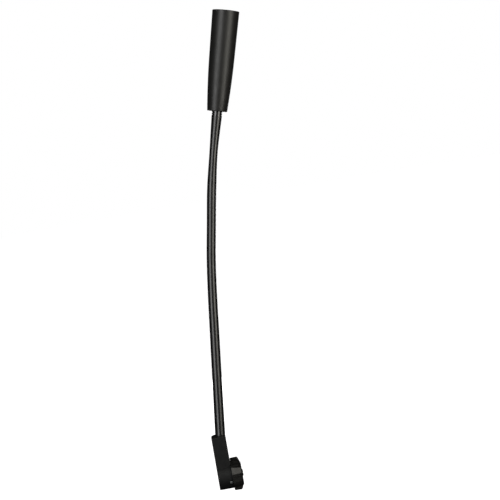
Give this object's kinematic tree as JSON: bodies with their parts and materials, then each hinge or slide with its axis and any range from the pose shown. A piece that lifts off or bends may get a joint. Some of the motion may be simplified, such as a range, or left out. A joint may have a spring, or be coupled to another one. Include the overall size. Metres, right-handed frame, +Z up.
{
  "type": "gooseneck podium microphone",
  "caption": "Slim gooseneck microphone: tapered tube head, bendable sleeved neck and a right-angle plug with a screw coupling ring.",
  "frame": {"origin": "on the plug's axis, in the plane of the coupling ring's mouth", "axes": "+X along the plug's axis, out of the mouth; +Z up the base housing towards the neck; -Y out of the housing's flat front"},
  "size_m": [0.064, 0.0217, 0.3093],
  "materials": {
    "housing": "fine moulded grain, black",
    "ring": "satin black moulding",
    "head_paint": "satin charcoal paint with a fine grain",
    "sleeve": "shrunk black sleeve, glossy",
    "spring_steel": "bright drawn wire",
    "cable": "black jacket",
    "nickel": "nickel plated brass",
    "collar": "black nickel plate with bright rings",
    "steel": "plain steel",
    "contact": "gold flashed brass",
    "insulator": "natural white plastic",
    "seal": "black rubber",
    "foam": "open-cell black foam",
    "grille": "black painted steel",
    "capsule": "drawn aluminium can",
    "board": "green circuit board",
    "board_part": "moulded components",
    "wire": "insulated hook-up wire"
  },
  "bodies": {
    "base": {"base_housing": "housing", "end_cap": "housing", "end_cap_seal": "seal", "neck_anchor": "nickel", "anchor_screw": "steel", "lock_screw": "steel", "plug_barrel": "nickel", "retaining_clip": "steel", "front_seal": "seal", "barrel_insulator": "insulator", "contact_spigot": "nickel", "spigot_insulator": "insulator", "centre_pin": "contact", "plug_wires": "wire", "neck_sleeve_1": "sleeve", "neck_coil_1": "spring_steel", "neck_cable_1": "cable"},
    "neck_2": {"neck_sleeve_2": "sleeve", "neck_coil_2": "spring_steel", "neck_cable_2": "cable"},
    "neck_3": {"neck_sleeve_3": "sleeve", "neck_coil_3": "spring_steel", "neck_cable_3": "cable"},
    "neck_4": {"neck_sleeve_4": "sleeve", "neck_coil_4": "spring_steel", "neck_cable_4": "cable"},
    "neck_5": {"neck_sleeve_5": "sleeve", "neck_coil_5": "spring_steel", "neck_cable_5": "cable"},
    "neck_6": {"neck_sleeve_6": "sleeve", "neck_coil_6": "spring_steel", "neck_cable_6": "cable"},
    "neck_7": {"neck_sleeve_7": "sleeve", "neck_coil_7": "spring_steel", "neck_cable_7": "cable"},
    "neck_8": {"neck_sleeve_8": "sleeve", "neck_coil_8": "spring_steel", "neck_cable_8": "cable"},
    "head": {"head_shell": "head_paint", "grille": "grille", "grille_ring": "grille", "foam_disc": "foam", "capsule_holder": "seal", "capsule_can": "capsule", "capsule_leads": "wire", "preamp_board": "board", "board_parts": "board_part", "head_ferrule": "collar", "head_screw": "steel", "neck_sleeve_9": "sleeve", "neck_coil_9": "spring_steel", "neck_cable_9": "cable"},
    "coupling_ring": {"coupling_ring": "ring"}
  },
  "joints": [
    {"name": "neck_bend_1_fore_aft", "type": "hinge", "parent": "base", "child": "neck_2", "pos_m": [-0.00744, 0, 0.0502], "axis": [0, 1, 0], "range_deg": [-30, 30]},
    {"name": "neck_bend_2_sideways", "type": "hinge", "parent": "neck_2", "child": "neck_3", "pos_m": [-0.00483, 0, 0.0731], "axis": [0.9936, 0, -0.1132], "range_deg": [-30, 30]},
    {"name": "neck_bend_3_fore_aft", "type": "hinge", "parent": "neck_3", "child": "neck_4", "pos_m": [-0.00214, 0, 0.096], "axis": [0, 1, 0], "range_deg": [-30, 30]},
    {"name": "neck_bend_4_sideways", "type": "hinge", "parent": "neck_4", "child": "neck_5", "pos_m": [0.00055, 0, 0.11889], "axis": [0.9932, 0, -0.1167], "range_deg": [-30, 30]},
    {"name": "neck_bend_5_fore_aft", "type": "hinge", "parent": "neck_5", "child": "neck_6", "pos_m": [0.00368, 0, 0.14173], "axis": [0, 1, 0], "range_deg": [-30, 30]},
    {"name": "neck_bend_6_sideways", "type": "hinge", "parent": "neck_6", "child": "neck_7", "pos_m": [0.00764, 0, 0.16443], "axis": [0.9851, 0, -0.1719], "range_deg": [-30, 30]},
    {"name": "neck_bend_7_fore_aft", "type": "hinge", "parent": "neck_7", "child": "neck_8", "pos_m": [0.01176, 0, 0.18711], "axis": [0, 1, 0], "range_deg": [-30, 30]},
    {"name": "neck_bend_8_sideways", "type": "hinge", "parent": "neck_8", "child": "head", "pos_m": [0.01679, 0, 0.20961], "axis": [0.9759, 0, -0.2181], "range_deg": [-30, 30]},
    {"name": "coupling_ring_turn", "type": "hinge", "parent": "base", "child": "coupling_ring", "pos_m": [-0.0035, 0, 0], "axis": [1, 0, 0], "continuous": true}
  ]
}
